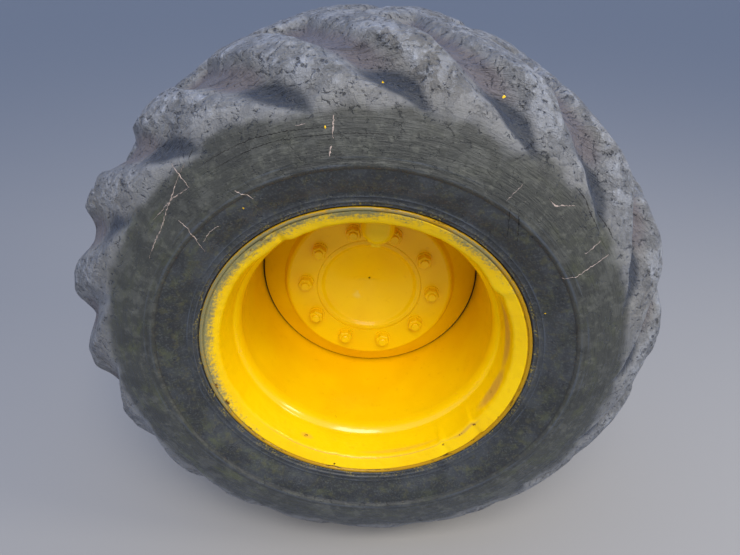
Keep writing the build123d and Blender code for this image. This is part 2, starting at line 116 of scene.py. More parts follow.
class StageSettings(bpy.types.PropertyGroup):
    """Camera and light."""

    camera_height: FloatProperty(
        name="Camera height", description="Above the axle", default=777.7 * MM, unit="LENGTH")
    camera_away: FloatProperty(
        name="Camera distance", description="From the disc's nut face, along the axle",
        default=1263.6 * MM, unit="LENGTH")
    camera_side: FloatProperty(
        name="Camera side", description="To the right of the axle", default=39.1 * MM, unit="LENGTH")
    camera_pitch: FloatProperty(
        name="Camera pitch", description="Downward tilt", default=math.radians(30.59), subtype="ANGLE")
    camera_yaw: FloatProperty(
        name="Camera yaw", description="Turn to the left", default=math.radians(1.64), subtype="ANGLE")
    lens: FloatProperty(
        name="Lens", description="Focal length on a 36 mm wide frame", default=27.05, unit="CAMERA")
    sky: FloatVectorProperty(
        name="Sky", description="Colour of the soft light overhead", size=4, subtype="COLOR",
        default=linear("#9dbdfc"))
    horizon: FloatVectorProperty(
        name="Horizon", description="Colour of the soft light low down", size=4, subtype="COLOR",
        default=linear("#dcdad6"))
    sky_strength: FloatProperty(name="Sky strength", description="Of the light all round", default=0.75)
    window_place: FloatVectorProperty(
        name="Window place", description="Middle of the soft window", size=3, subtype="XYZ",
        unit="LENGTH", default=(0.5, -3.5, 3.8))
    window_size: FloatProperty(
        name="Window size", description="Side of the soft window", default=2.6, unit="LENGTH")
    window_power: FloatProperty(
        name="Window power", description="Light of the soft window", default=215, unit="POWER")
    lamp_place: FloatVectorProperty(
        name="Lamp place", description="Small lamp that draws the highlights", size=3, subtype="XYZ",
        unit="LENGTH", default=(3.3, -1.4, 1.9))
    lamp_size: FloatProperty(
        name="Lamp size", description="Side of the small lamp", default=0.8, unit="LENGTH")
    lamp_power: FloatProperty(
        name="Lamp power", description="Light of the small lamp", default=38, unit="POWER")


def add_node(tree, kind, links=None, out=None, **settings):
    """Adds a node, sets its own settings, links or fills its sockets and gives its first output in use."""
    made = tree.nodes.new(kind)
    for name, value in settings.items():
        setattr(made, name, value)
    for socket, value in (links or {}).items():
        if isinstance(value, bpy.types.NodeSocket):
            tree.links.new(value, made.inputs[socket])
        else:
            made.inputs[socket].default_value = value
    if out:
        return made.outputs[out]
    return next(socket for socket in made.outputs if socket.enabled)


def start_material(name, finish):
    """A material with its shader's sockets filled by finish: the material, its nodes and the shader."""
    made = bpy.data.materials.new(name)
    made.use_nodes = True
    shader = made.node_tree.nodes["Principled BSDF"]
    for socket, value in finish.items():
        shader.inputs[socket].default_value = value
    return made, made.node_tree, shader


def spread(tree, texture, low, high, strength=1.0, within=None):
    """How strongly a mark shows in an area: nothing where the texture is at low, strength where at high."""
    share = add_node(tree, "ShaderNodeMapRange", {
        "Value": texture, "From Min": low, "From Max": high, "To Max": strength},
        interpolation_type="SMOOTHSTEP")
    if within is None:
        return share
    return add_node(tree, "ShaderNodeMath", {0: share, 1: within}, operation="MULTIPLY")


def marks(tree, colour, rows):
    """Lays marks over a colour, in rows of (hex or setting, texture, low, high, strength, area)."""
    for over, *measure in rows:
        over = linear(over) if isinstance(over, str) else tuple(over)
        share = spread(tree, *measure)
        colour = add_node(tree, "ShaderNodeMix", {"Factor": share, 6: colour, 7: over}, data_type="RGBA")
    return colour


def relief(tree, shader, rows):
    """Raises a skin by textures, in rows of (texture, millimetres for its whole range)."""
    height = 0.0
    for texture, amount in rows:
        height = add_node(
            tree, "ShaderNodeMath", {0: texture, 1: amount, 2: height}, operation="MULTIPLY_ADD")
    bump = add_node(tree, "ShaderNodeBump", {"Height": height, "Distance": 1 * MM})
    tree.links.new(bump, shader.inputs["Normal"])


def worn_rubber(settings):
    """Natural rubber, moulded, then ground by bark and grit and cracked by years of sun.

    Matt dark grey: paler, flaked and pitted on the lugs, brown with dust in the grooves, finely wrinkled
    round the wheel on the sidewall and darker and smoother below the rib. Painted shade darkens the cracks,
    pits, grooves' outer ends and the creases beside the rib; painted highlight lightens the raised rings,
    and the crests' pale flecks carry a painted sky-blue tint.
    """
    # Dust lies on the rubber like a bloom and catches the sky where it is seen along the skin; the sheen's
    # blue tint is painted sky reflection.
    made, tree, shader = start_material("natural rubber, worn and cracked", {
        "Sheen Weight": 0.14, "Sheen Roughness": 0.40, "Sheen Tint": linear("#a3bdf2")})
    grain = add_node(tree, "ShaderNodeAttribute", out="Vector", attribute_name="grain")
    tread, crest, groove, groove_tail_shade, lower, ring, rib_crease_shade, moss, overspray = [
        add_node(tree, "ShaderNodeAttribute", out="Fac", attribute_name=name)
        for name in ("tread", "crest", "groove", "groove_tail_shade", "lower", "ring", "rib_crease_shade", "moss", "overspray")]
    place = add_node(tree, "ShaderNodeTexCoord", out="Object")
    long_grain = add_node(
        tree, "ShaderNodeVectorMath", {0: grain, 1: (0.35, 0.35, 1.0)}, operation="MULTIPLY")
    # Grain of the skin by the width of its spots in millimetres: stains, chunks, flakes and sand, then
    # streaks and hairs round the wheel.
    broad, patches, chunks, flakes, sand, streak, hair = [
        add_node(tree, "ShaderNodeTexNoise", {
            "Vector": along, "Scale": 0.5 / (width * MM), "Detail": detail, "Roughness": rough,
            "Distortion": bend})
        for along, width, detail, rough, bend in (
            (place, 110, 3, 0.5, 0), (place, 42, 3, 0.5, 0), (place, 20, 6, 0.6, 0.4),
            (place, 8, 5, 0.66, 0), (place, 2.2, 3, 0.6, 0), (grain, 11, 5, 0.7, 0),
            (long_grain, 5, 4, 0.7, 0))]
    # Networks of creases, high in a crease: fine ones round the wheel, wide ones on the lugs and long ones
    # on the wall.
    crazing, folds, lines = [
        add_node(tree, "ShaderNodeTexNoise", {
            "Vector": along, "Scale": 0.5 / (width * MM), "Detail": detail, "Roughness": rough,
            "Offset": 0.9, "Gain": 2.0}, noise_type="RIDGED_MULTIFRACTAL")
        for along, width, detail, rough in (
            (grain, 9, 4, 0.5), (place, 15, 5, 0.6), (long_grain, 5, 3, 0.55))]
    upper = add_node(tree, "ShaderNodeMath", {0: 1.0, 1: lower}, operation="SUBTRACT")
    # Dust ends raggedly where the shoulder meets the wall.
    dusty = add_node(tree, "ShaderNodeMath", {0: patches, 1: 1.4, 2: tread}, operation="MULTIPLY_ADD")
    dusty = spread(tree, dusty, 0.85, 1.45)
    wall = add_node(tree, "ShaderNodeMath", {0: upper, 1: tread}, operation="SUBTRACT", use_clamp=True)
    # Torn rubber stands in flat chunks with a low edge round each.
    torn = spread(tree, chunks, 0.485, 0.515, within=tread)
    fine_cracks = spread(tree, crazing, 1.35, 1.60, within=spread(tree, patches, 0.38, 0.55, within=tread))
    fold_cracks = spread(tree, folds, 1.46, 1.75, within=spread(tree, tread, -0.6, 0.6))
    wall_cracks = spread(tree, lines, 1.42, 1.75, within=spread(tree, patches, 0.40, 0.60, within=wall))
    cracks = add_node(tree, "ShaderNodeMath", {0: fine_cracks, 1: fold_cracks}, operation="MAXIMUM")
    cracks = add_node(tree, "ShaderNodeMath", {0: cracks, 1: wall_cracks}, operation="MAXIMUM")
    # Pits 4 to 9 mm wide where grit has torn the lugs' tops.
    cells = add_node(tree, "ShaderNodeTexVoronoi", {"Vector": place, "Scale": 1 / (14 * MM)}, out="Distance")
    pits = spread(tree, cells, 0.30, 0.18, within=spread(tree, patches, 0.42, 0.62, within=crest))

    colour = marks(tree, tuple(settings.rubber), [
        (settings.dust, dusty, 0.0, 1.0),
        ("#6a665c", broad, 0.45, 0.70, 0.5, tread),
        ("#8b8c8b", torn, 0.0, 1.0, 0.35),
        ("#4b4e51", chunks, 0.47, 0.36, 0.45, tread),
        ("#3c3e40", flakes, 0.46, 0.32, 0.45, tread),
        # Pale flecks on the crests: worn rubber, with a blue tint that is painted sky reflection.
        ("#a3abba", chunks, 0.49, 0.60, 0.30, crest),
        ("#b4bdcc", flakes, 0.52, 0.66, 0.30, crest),
        ("#625c60", groove, 0.25, 0.9, 0.8),
        # Painted shade: the grooves' outer ends darkened blue-black, most towards the wheel's upper right.
        ("#262d38", groove_tail_shade, 0.1, 0.6, 0.9),
        ("#262a2e", lower, 0.0, 1.0, 0.9),
        ("#63665f", flakes, 0.50, 0.68, 0.5, wall),
        ("#2b2e2e", patches, 0.52, 0.38, 0.50, wall),
        ("#5d605d", chunks, 0.50, 0.62, 0.4, wall),
        ("#494f57", patches, 0.42, 0.64, 0.42, lower),
        ("#5c6265", sand, 0.50, 0.66, 0.35, lower),
        ("#5c5b3a", flakes, 0.50, 0.68, 0.36, lower),
        ("#17191d", streak, 0.50, 0.36, 0.26, lower),
        (settings.moss, streak, 0.44, 0.62, 0.45, moss),
        # Painted highlight, bluish, along the raised rings of the wall.
        ("#4d5663", ring, 0.3, 1.0, 0.55),
        # Painted shade in the creases on both sides of the rib.
        ("#191b1f", rib_crease_shade, 0.2, 0.9, 0.6),
        ("#a8952f", sand, 0.50, 0.62, 0.85, overspray),
        ("#8a8b86", sand, 0.62, 0.76, 0.20, upper),
        # Cracks and pits near-black: the rubber's own black, deepened by painted shade.
        ("#1c1d1e", cracks, 0.0, 1.0, 0.7),
        ("#222324", pits, 0.0, 1.0, 0.75)])
    tree.links.new(colour, shader.inputs["Base Color"])
    polish = add_node(tree, "ShaderNodeMath", {0: lower, 1: crest, 2: groove_tail_shade}, operation="MULTIPLY_ADD")
    polish = add_node(tree, "ShaderNodeMath", {0: polish, 1: lower}, operation="MAXIMUM")
    rough = add_node(tree, "ShaderNodeMapRange", {"Value": polish, "To Min": 0.60, "To Max": 0.45})
    tree.links.new(rough, shader.inputs["Roughness"])
    raised = [
        (spread(tree, texture, low, high, within=area), amount) for texture, low, high, area, amount in (
            (folds, 1.1, 2.0, tread, -1.6), (folds, 1.1, 2.0, crest, -2.4), (crazing, 1.1, 1.8, tread, -1.2),
            (flakes, 0.25, 0.75, tread, 2.6), (flakes, 0.25, 0.75, crest, 2.2), (hair, 0.3, 0.7, upper, 1.0),
            (lines, 0.9, 1.8, wall, -0.5), (hair, 0.3, 0.7, groove, 2.5), (hair, 0.3, 0.7, groove_tail_shade, 2.5))]
    relief(tree, shader, [(sand, 0.9), (torn, 1.4), *raised, (cracks, -2.2), (pits, -3.0)])
    return made


def yellow_enamel(settings, name="alkyd enamel, sprayed yellow", worn=False, patch=None):
    """Alkyd enamel sprayed thickly over old paint and rust.

    A deep warm yellow with soft gloss, a faint orange-peel skin, dust where it settles, and, where worn, the
    grey-green rubbing of the flange, its brown lip, rust stains and chips. A patch is (place, size): a pale
    mottled spot there is a painted glint, with a slight bump.
    """
    made, tree, shader = start_material(name, {
        "Roughness": 0.45, "Specular IOR Level": 0.12, "Coat Weight": 0.25, "Coat Roughness": 0.16})
    place = add_node(tree, "ShaderNodeTexCoord", out="Object")
    # Unevenness by the width of its spots in millimetres, down to the orange peel.
    broad, specks, spots, peel = [
        add_node(tree, "ShaderNodeTexNoise", {
            "Vector": place, "Scale": 0.5 / (width * MM), "Detail": detail, "Roughness": rough})
        for width, detail, rough in ((70, 3, 0.5), (16, 4, 0.7), (9, 4, 0.6), (2.6, 2, 0.5))]
    colour = marks(tree, tuple(settings.yellow), [
        ("#ecb800", broad, 0.35, 0.75, 0.45), ("#d09a10", spots, 0.58, 0.74, 0.20),
        ("#7a5312", specks, 0.745, 0.765, 0.7)])
    rows = [(peel, 0.18), (broad, 0.9)]
    if worn:
        grain = add_node(tree, "ShaderNodeAttribute", out="Vector", attribute_name="grain")
        scuff, lip, stain, chip, gloss = [
            add_node(tree, "ShaderNodeAttribute", out="Fac", attribute_name=name)
            for name in ("scuff", "lip", "stain", "chip", "gloss")]
        streak = add_node(tree, "ShaderNodeTexNoise", {
            "Vector": grain, "Scale": 0.5 / (2.4 * MM), "Detail": 4, "Roughness": 0.7})
        grit = add_node(tree, "ShaderNodeTexNoise", {
            "Vector": place, "Scale": 0.5 / (3 * MM), "Detail": 3, "Roughness": 0.6})
        # Rubbing is a soft veil with streaks in it: the streaks give way last where it thins out.
        veil = add_node(tree, "ShaderNodeMath", {0: streak, 1: 0.7, 2: scuff}, operation="MULTIPLY_ADD")
        veil = add_node(tree, "ShaderNodeMath", {0: grit, 1: 1.6, 2: veil}, operation="MULTIPLY_ADD")
        rubbed = spread(tree, veil, 1.15, 2.25, 0.9, within=spread(tree, scuff, 0.0, 0.3))
        ragged = add_node(tree, "ShaderNodeMath", {0: chip, 1: 0.6, 2: grit}, operation="MULTIPLY_ADD")
        colour = marks(tree, colour, [
            ("#b98a4c", stain, 0.1, 1.0, 0.6), ("#a2760f", lip, 0.0, 1.0, 0.8),
            ("#2b2418", streak, 0.56, 0.62, 0.8, lip), (settings.scuff, rubbed, 0.0, 1.0),
            ("#4f5560", streak, 0.54, 0.68, 0.4, rubbed), ("#9a6a1c", ragged, 0.80, 0.95, 0.7),
            ("#4d3013", ragged, 0.96, 1.02, 0.9)])
        rough = add_node(tree, "ShaderNodeMapRange", {"Value": rubbed, "To Min": 0.42, "To Max": 0.65})
        tree.links.new(rough, shader.inputs["Roughness"])
        coat = add_node(tree, "ShaderNodeMapRange", {"Value": gloss, "To Min": 0.25, "To Max": 1.0})
        tree.links.new(coat, shader.inputs["Coat Weight"])
        rows += [(streak, 0.5), (spread(tree, ragged, 0.94, 1.0), -0.6)]
    if patch:
        centre, size = patch
        away = add_node(
            tree, "ShaderNodeVectorMath", {0: place, 1: centre}, out="Value", operation="DISTANCE")
        # A pale mottled spot painted round the centre: a painted glint, with a slight bump.
        painted_glint = spread(tree, spots, 0.40, 0.60, within=spread(tree, away, size, 0.3 * size))
        colour = marks(tree, colour, [("#f2d75a", painted_glint, 0.0, 1.0, 0.8)])
        rows.append((painted_glint, 0.5))
    tree.links.new(colour, shader.inputs["Base Color"])
    relief(tree, shader, rows)
    return made


def plain_finish(name, base, worn, roughness, metallic=0.0):
    """A plain finish whose colour varies from base to worn in 6 mm spots, with a light cast skin."""
    made, tree, shader = start_material(name, {"Metallic": metallic})
    place = add_node(tree, "ShaderNodeTexCoord", out="Object")
    spots = add_node(tree, "ShaderNodeTexNoise", {
        "Vector": place, "Scale": 0.5 / (6 * MM), "Detail": 5, "Roughness": 0.65})
    tree.links.new(marks(tree, base, [(worn, spots, 0.42, 0.68)]), shader.inputs["Base Color"])
    rough = add_node(tree, "ShaderNodeMapRange", {
        "Value": spots, "To Min": roughness - 0.08, "To Max": roughness + 0.12})
    tree.links.new(rough, shader.inputs["Roughness"])
    relief(tree, shader, [(spots, 0.25)])
    return made


def dress(material, *nodes):
    """Gives a material to CAD nodes whose shape is right."""
    for name in nodes:
        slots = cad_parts[name].material_slots
        if not slots:
            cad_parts[name].data.materials.append(material)
        for slot in slots:
            slot.material = material


def smooth(low, high, value):
    """0 below low, 1 above high, and an even ease between."""
    share = np.clip((value - low) / (high - low), 0, 1)
    return share * share * (3 - 2 * share)


def bell(value, half):
    """1 where the value is 0, falling away evenly on both sides."""
    return np.exp(-(value / half) ** 2)


def lumps(turn, run, seed, cell, stretch=1.0):
    """Soft noise from -1 to 1, in spots cell wide along a skin and stretch times as long round the wheel."""
    around = round(2 * math.pi * TIP_RADIUS / (cell * stretch))
    along = 1000
    a, b = turn / (2 * math.pi) * around, run / cell + along / 2
    lean = np.random.default_rng(seed).uniform(0, 2 * math.pi, (around, along))
    i, j = np.floor(a).astype(int), np.floor(b).astype(int)
    total = np.zeros(np.broadcast(a, b).shape)
    for di, dj in ((0, 0), (0, 1), (1, 0), (1, 1)):
        angle = lean[(i + di) % around, j + dj]
        da, db = a - i - di, b - j - dj
        weight = (1 - smooth(0, 1, np.abs(da))) * (1 - smooth(0, 1, np.abs(db)))
        total = total + weight * (np.cos(angle) * da + np.sin(angle) * db)
    return np.clip(1.7 * total, -1, 1)


def full_turn(steps):
    """Turn angles in even steps round the wheel, as a column."""
    return np.linspace(0, 2 * math.pi, steps, endpoint=False)[:, None]


def wheel_points(turn, radius, away):
    """Points of the wheel by turn, radius and distance from the tyre's centre plane, inboard positive."""
    turn, radius, away = np.broadcast_arrays(turn, radius, away)
    return np.stack([radius * np.cos(turn), CENTRE_Y + away, radius * np.sin(turn)], axis=-1)


def band_mesh(name, points, fields=None, ring=True):
    """A band closed across, from points[along, across] = (x, y, z), with fields as point attributes.

    It is closed along too where it is a ring, and else runs from one end to the other.
    """
    along, across = points.shape[:2]
    here = np.arange(along * across).reshape(along, across)
    beside = np.roll(here, -1, axis=1)
    faces = np.stack([here, beside, np.roll(beside, -1, axis=0), np.roll(here, -1, axis=0)], axis=-1)
    faces = (faces if ring else faces[:-1]).reshape(-1, 4)
    mesh = bpy.data.meshes.new(name)
    mesh.vertices.add(along * across)
    mesh.vertices.foreach_set("co", points.reshape(-1).astype(np.float32))
    mesh.loops.add(len(faces) * 4)
    mesh.loops.foreach_set("vertex_index", faces.reshape(-1).astype(np.int32))
    mesh.polygons.add(len(faces))
    mesh.polygons.foreach_set("loop_start", np.arange(0, len(faces) * 4, 4, dtype=np.int32))
    mesh.polygons.foreach_set("loop_total", np.full(len(faces), 4, dtype=np.int32))
    mesh.polygons.foreach_set("use_smooth", np.ones(len(faces), dtype=bool))
    mesh.update(calc_edges=True)
    mesh.set_sharp_from_angle(angle=math.radians(70))
    for field, values in (fields or {}).items():
        vector = values.ndim == points.ndim
        layer = mesh.attributes.new(field, "FLOAT_VECTOR" if vector else "FLOAT", "POINT")
        layer.data.foreach_set("vector" if vector else "value", values.reshape(-1).astype(np.float32))
    made = bpy.data.objects.new(name, mesh)
    bpy.context.scene.collection.objects.link(made)
    return made


def rounded(rows, step):
    """A closed outline through rows of (x, y, corner radius, step round it), in even steps between them."""
    pts = [np.array(row[:2], float) for row in rows]
    line = []
    for k, (*_, corner, arc_step) in enumerate(rows):
        here, before, after = pts[k], pts[k - 1], pts[(k + 1) % len(pts)]
        back, ahead = before - here, after - here
        back, ahead = back / np.linalg.norm(back), ahead / np.linalg.norm(ahead)
        half = math.acos(float(np.clip(back @ ahead, -1, 1))) / 2
        if corner <= 0 or half > math.radians(89):
            line.append(here)
            continue
        set_back = corner / math.tan(half)
        middle = here + (back + ahead) / np.linalg.norm(back + ahead) * corner / math.sin(half)
        first = here + back * set_back - middle
        sweep = math.pi - 2 * half
        spin = math.copysign(1, back[0] * ahead[1] - back[1] * ahead[0]) * -1
        for t in np.linspace(0, sweep, max(2, math.ceil(sweep * corner / arc_step)) + 1) * spin:
            line.append(middle + np.array([first[0] * math.cos(t) - first[1] * math.sin(t),
                                           first[0] * math.sin(t) + first[1] * math.cos(t)]))
    filled = []
    for here, after in zip(line, line[1:] + line[:1]):
        count = max(1, math.ceil(np.linalg.norm(after - here) / step))
        filled += [here + (after - here) * k / count for k in range(count)]
    return np.array(filled)


def along_outline(corners, spacing):
    """A smooth curve through corners of (radius, distance from the centre plane), in steps of spacing."""
    pts = np.array(corners, float)
    ends = np.vstack([2 * pts[0] - pts[1], pts, 2 * pts[-1] - pts[-2]])
    fine = []
    for k in range(len(pts) - 1):
        p0, p1, p2, p3 = ends[k:k + 4]
        d01, d12, d23 = (math.sqrt(np.linalg.norm(b - a)) for a, b in ((p0, p1), (p1, p2), (p2, p3)))
        t = np.linspace(0, 1, 40, endpoint=k == len(pts) - 2)[:, None]
        m1 = (p2 - p1) + d12 * ((p1 - p0) / d01 - (p2 - p0) / (d01 + d12))
        m2 = (p2 - p1) + d12 * ((p3 - p2) / d23 - (p3 - p1) / (d12 + d23))
        fine.append((2 * t**3 - 3 * t**2 + 1) * p1 + (t**3 - 2 * t**2 + t) * m1
                    + (3 * t**2 - 2 * t**3) * p2 + (t**3 - t**2) * m2)
    fine = np.vstack(fine)
    length = np.concatenate([[0], np.cumsum(np.linalg.norm(np.diff(fine, axis=0), axis=1))])
    stops = np.linspace(0, length[-1], round(length[-1] / spacing) + 1)
    return np.stack([np.interp(stops, length, fine[:, k]) for k in (0, 1)], axis=1)


# Half outline of the tyre over the lugs' tops, from the flange to the crown:
# radius in from the tips and distance in from the widest ring, in millimetres.
TYRE_OUTLINE = [
    (330, 49), (320, 47), (313, 43), (310.5, 36.5), (304.5, 33.5), (296, 30), (286, 25.5), (271, 14.5),
    (246, 5), (210, 0), (176, 2.6), (141, 10.4), (106, 24.5), (74, 45), (44, 71), (15, 104), (7, 135),
    (4, 163), (1.5, 233), (0, 353),
]
# Half outline of the bead and the cavity, back from the flange to the crown, and its corner below the rib.
TYRE_INSIDE = [(337, 50), (338.5, 58), (338.5, 92), (322, 92), (209, 22), (72, 165), (70, 353)]
BELOW_RIB = 4
SHOULDER_RUN = 300 * MM     # along the skin from the middle of the crown to where the lugs bend down
FLANK_RUN = 385 * MM        # the same to where the lugs run out
NOSE_RUN = 10 * MM          # the same to where the lugs' round ends begin
# Half a groove's width across its run, by the distance from the crown's middle, in millimetres.
GROOVE_HALVES = [(0, 45), (100, 40), (200, 35), (288, 31), (340, 22), (385, 11), (405, 2)]
# How gently a groove's walls rise, by the same distance, in millimetres.
WALL_SLOPES = [(0, 12), (215, 12), (300, 27), (400, 18)]
# Where wear has pushed the outboard lugs round, rounded them and lowered them, in degrees: the middle of
# its side of the wheel, and its reach.
DRIFT_SIDE = 155
ROUND_SIDE = (172, 26)
LOW_SIDE = (207, 11)
RIB_RADIUS = 455 * MM
# Fine raised rings of the sidewall: radius, height and half width, in millimetres.
WALL_RINGS = [(455, 3.4, 5.0), (470, 1.0, 1.6), (386, 1.8, 1.6), (376, 2.4, 2.0), (368, 1.2, 1.4)]
TREAD_STEPS = 900           # round the wheel, in the tread and the far side
BEAD_STEPS = 600            # the same, in the bead
# Pale scratches and black cracks in the rubber: width in millimetres, then points as turn angle in degrees
# and distance along the skin from the crown's middle in millimetres.
SCRATCHES = [
    (3.4, (95.2, 405), (95.6, 425), (95.8, 442)), (3.8, (96.3, 455), (97.0, 473)),
    (2.4, (102.4, 412), (100.6, 412)),
    (1.8, (125.2, 392), (129.0, 408), (132.0, 422), (139.0, 445), (147.5, 455)),
    (1.8, (138.8, 425), (132.5, 425), (127.5, 430)),
    (2.4, (134.8, 460), (135.0, 485), (136.8, 515), (138.5, 540)),
    (1.8, (136.0, 523), (132.0, 518), (129.5, 520)), (2.2, (119.8, 480), (118.0, 498), (117.3, 513)),
    (2.2, (49.8, 430), (47.8, 432), (44.5, 405)), (1.8, (31.3, 500), (30.0, 475), (30.5, 452), (31.0, 400)),
    (1.6, (34.2, 440), (34.8, 403)), (1.6, (56.8, 480), (56.2, 438)), (1.5, (127.7, 375), (127.5, 430)),
]
CRACKS = [
    (2.6, (55.2, 485), (53.0, 505), (49.2, 538)), (3.2, (52.8, 483), (50.5, 500), (46.5, 530)),
    (3.0, (121.8, 412), (111.5, 412), (101.8, 420), (96.0, 422)),
    (2.2, (120.8, 430), (110.0, 428), (96.2, 435)), (2.2, (95.0, 436), (88.0, 436), (82.8, 438)),
    (3.6, (47.2, 382), (44.0, 383), (41.2, 392), (36.2, 397)),
    (3.4, (39.5, 375), (33.5, 380)), (2.6, (122.8, 375), (124.0, 385), (124.5, 400)),
]
# Drops of yellow on the rubber: turn angle, distance along the skin and size in millimetres.
DROPS = [(97.0, 422, 5), (86.8, 340, 5), (66.0, 302, 6), (121.0, 520, 4), (20.0, 560, 4), (160.0, 590, 5)]
MM_A_DEGREE = 10            # round the wheel, about, where the scratches are


class TyreSkin:
    """The worn outside of the tyre, by turn angle and run.

    Run is the distance along the skin from the crown's middle, positive outboard.
    """

    def __init__(self, settings):
        self.settings = settings
        half = [(TIP_RADIUS - drop * MM, HALF_WIDTH - inset * MM) for drop, inset in TYRE_OUTLINE]
        self.radius, self.away = along_outline(half, 2 * MM)[::-1].T
        steps = np.hypot(np.diff(self.radius), np.diff(self.away))
        self.reach = np.concatenate([[0], np.cumsum(steps)])
        slope_out, slope_side = np.gradient(self.radius), np.gradient(self.away)
        size = np.hypot(slope_out, slope_side)
        self.lean_out, self.lean_side = slope_side / size, -slope_out / size

    def run_at(self, radius):
        """How far the flank's run is at a radius."""
        return float(np.interp(-radius, -self.radius, self.reach))

    def from_groove(self, turn, run, radius):
        """How far a place is from the nearest groove's edge, positive on a lug."""
        settings = self.settings
        pitch = 2 * math.pi / settings.lug_count
        edge = np.full(np.broadcast(turn, run).shape, -1.0)
        for side, stagger in ((1, 0.0), (-1, pitch / 2)):
            reach = side * run
            share = np.clip(reach / FLANK_RUN, -0.4, 1.08)
            curved = np.maximum(share, 0)
            centre = settings.lug_phase + stagger + settings.lug_lead * (1 - share)
            centre = centre + settings.lug_curve * (1 - curved**3)
            if side > 0:
                drifted = np.cos((turn - math.radians(DRIFT_SIDE)) / 2) ** 8
                centre = centre + settings.lug_drift * curved * drifted
            offset = np.abs((turn - centre + pitch / 2) % pitch - pitch / 2)
            slope = (settings.lug_lead + 3 * settings.lug_curve * curved**2) / FLANK_RUN * radius
            across = radius / np.sqrt(1 + slope**2)
            reaches, halves = np.array(GROOVE_HALVES).T * MM
            body = (pitch / 2 - offset) * across - np.interp(reach, reaches, halves)
            past = np.maximum(NOSE_RUN - reach, 0)
            nose = settings.lug_nose - np.hypot(offset * across, past)
            edge = np.maximum(edge, np.where(past > 0, np.minimum(body, nose), body))
        return edge

    def at(self, turn, run, lift=0.0):
        """Points of the skin, lifted off it, and its fields."""
        turn, run = np.broadcast_arrays(turn, run)
        reach = np.abs(run)
        radius, away, lean_out, lean_side = [
            np.interp(reach, self.reach, values)
            for values in (self.radius, self.away, self.lean_out, self.lean_side)]
        tread = smooth(TIP_RADIUS - 155 * MM, TIP_RADIUS - 80 * MM, radius)
        wall = 1 - tread
        wobble = lumps(turn, run, 1, 60 * MM) * math.radians(0.9)
        edge = self.from_groove(turn + wobble, run, radius)
        reaches, slopes = np.array(WALL_SLOPES).T * MM
        narrow = np.clip(np.interp(reach, *(np.array(GROOVE_HALVES).T * MM)) / (20 * MM), 0.4, 1)
        round_side, low_side = [
            bell(np.degrees(turn) % 360 - middle, half) * (run > 0)
            for middle, half in (ROUND_SIDE, LOW_SIDE)]
        slopes = np.interp(reach, reaches, slopes) * narrow + 15 * MM * round_side * narrow
        rise = np.clip((edge + slopes) / (2 * slopes), 0, 1)
        soft = np.maximum(smooth(215 * MM, SHOULDER_RUN, reach), round_side)
        tops = rise**1.5 + (smooth(0, 1, rise) - rise**1.5) * soft
        depth = self.settings.lug_depth * smooth(TIP_RADIUS - 150 * MM, TIP_RADIUS - 42 * MM, radius)
        sink = depth * (1 - 0.6 * low_side) * (1 - tops)
        # Lugs are worn round, lumpy and creased, with pieces torn out of their edges.
        blunt = 1 - smooth(0, 36 * MM, edge)
        sink = sink + tread * tops * 5 * MM * blunt * smooth(410 * MM, 330 * MM, reach)
        rough = 1 - 0.65 * smooth(200 * MM, 290 * MM, reach)
        sink = sink + tread * 2.2 * MM * (1 + lumps(turn, run, 2, 85 * MM))
        sink = sink + rough * tread * tops * 1.7 * MM * (1 + lumps(turn, run, 3, 30 * MM, 1.6))
        sink = sink + rough * tread * tops * 0.9 * MM * (1 + lumps(turn, run, 4, 13 * MM, 2.2))
        torn = smooth(0.20, 0.34, lumps(turn, run, 5, 34 * MM))
        torn = torn * smooth(-0.1, 0.3, lumps(turn, run, 6, 120 * MM))
        sink = sink + rough * tread * tops * 5 * MM * torn
        crease = smooth(0.14, 0.0, np.abs(lumps(turn, run, 7, 40 * MM, 2.6)))
        crease = crease * smooth(-0.05, 0.35, lumps(turn, run, 8, 90 * MM))
        sink = sink + rough * tread * tops * 2.8 * MM * crease
        # The wall between the raised rings is set back, and a step further below the rib.
        below = smooth(RIB_RADIUS - 6 * MM, RIB_RADIUS - 11 * MM, radius)
        set_back = wall * smooth(372 * MM, 405 * MM, radius)
        sink = sink + set_back * (4.7 * MM + 2.4 * MM * below)
        for ring, height, half in WALL_RINGS:
            sink = sink - wall * height * MM * bell(radius - ring * MM, half * MM)
        sink = sink + wall * 0.45 * MM * lumps(turn, run, 9, 9 * MM, 3.5) * (1 - 0.7 * below)
